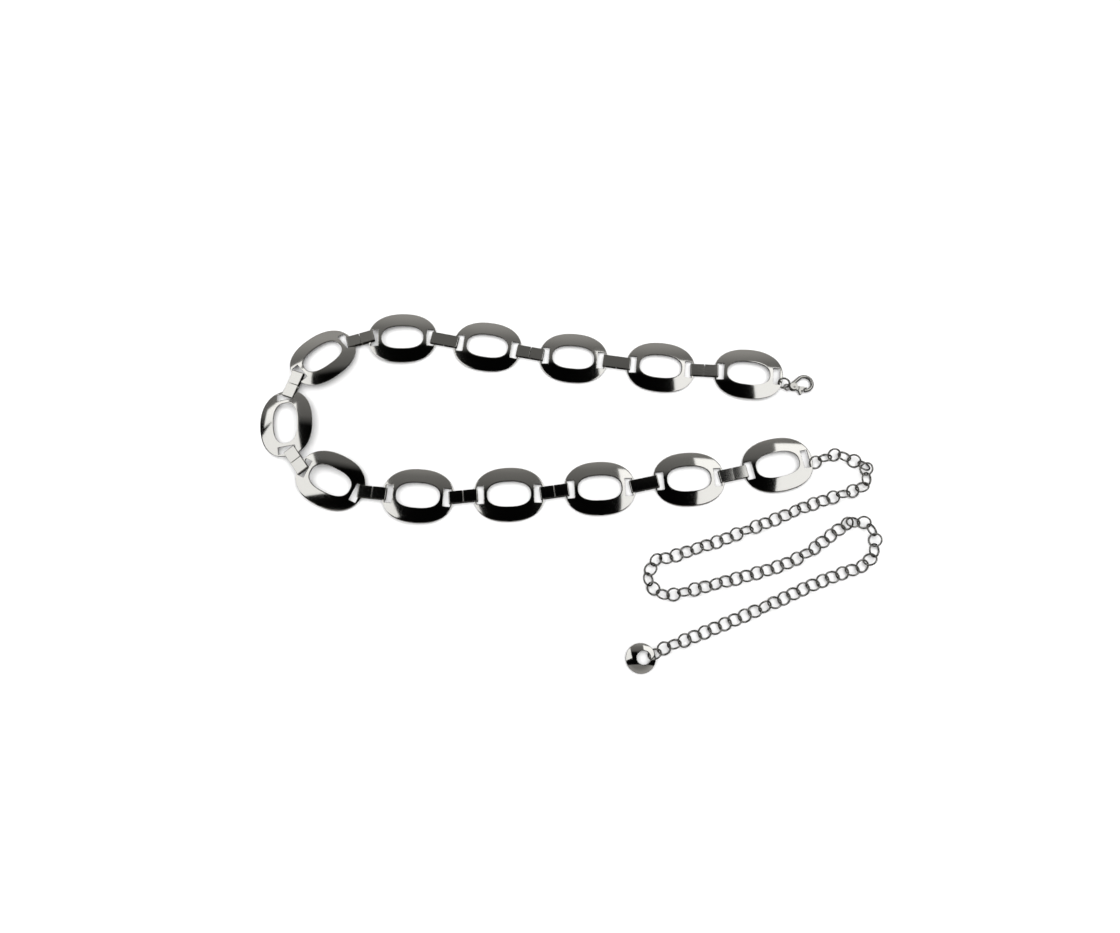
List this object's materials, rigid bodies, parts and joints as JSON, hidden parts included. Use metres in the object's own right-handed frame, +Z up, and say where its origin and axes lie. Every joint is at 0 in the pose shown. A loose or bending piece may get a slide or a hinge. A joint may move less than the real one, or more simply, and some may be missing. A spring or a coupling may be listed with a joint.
{
  "type": "waist chain",
  "caption": "Waist chain of domed oval window plates hooked together by folded strip loops, with a lobster clasp at one end and a long link extender with a pierced disc at the other.",
  "frame": {"origin": "centre of the laid-out chain's bounding box, on the surface it lies on", "axes": "+Z up from the surface; +X along the longest way of the layout, towards the clasp and the last plate; +Y away from the extender chain, towards the row of plates that holds the clasp"},
  "size_m": [0.3499, 0.2104, 0.0059],
  "materials": {
    "polished_steel": "mirror polished",
    "strip_steel": "polished, rolled and folded",
    "clasp_steel": "polished casting",
    "wire_steel": "polished wire"
  },
  "bodies": {
    "chain": {"plate_01": "polished_steel", "plate_02": "polished_steel", "plate_03": "polished_steel", "plate_04": "polished_steel", "plate_05": "polished_steel", "plate_06": "polished_steel", "plate_07": "polished_steel", "plate_08": "polished_steel", "plate_09": "polished_steel", "plate_10": "polished_steel", "plate_11": "polished_steel", "plate_12": "polished_steel", "plate_13": "polished_steel", "strip_link_01": "strip_steel", "strip_link_02": "strip_steel", "strip_link_03": "strip_steel", "strip_link_04": "strip_steel", "strip_link_05": "strip_steel", "strip_link_06": "strip_steel", "strip_link_07": "strip_steel", "strip_link_08": "strip_steel", "strip_link_09": "strip_steel", "strip_link_10": "strip_steel", "strip_link_11": "strip_steel", "strip_link_12": "strip_steel", "clasp_ring": "wire_steel", "clasp_body": "clasp_steel", "clasp_pin": "clasp_steel", "chain_upper": "wire_steel", "chain_lower": "wire_steel", "disc_ring": "wire_steel", "end_disc": "polished_steel"},
    "lever": {"clasp_lever": "clasp_steel"}
  },
  "joints": [
    {"name": "clasp_lever_hinge", "type": "hinge", "parent": "chain", "child": "lever", "pos_m": [0.13425, 0.05783, 0.0015], "axis": [0, 0, 1], "range_deg": [0, 25], "stiffness_Nm_per_rad": 0.01, "springref_deg": -28.65}
  ]
}
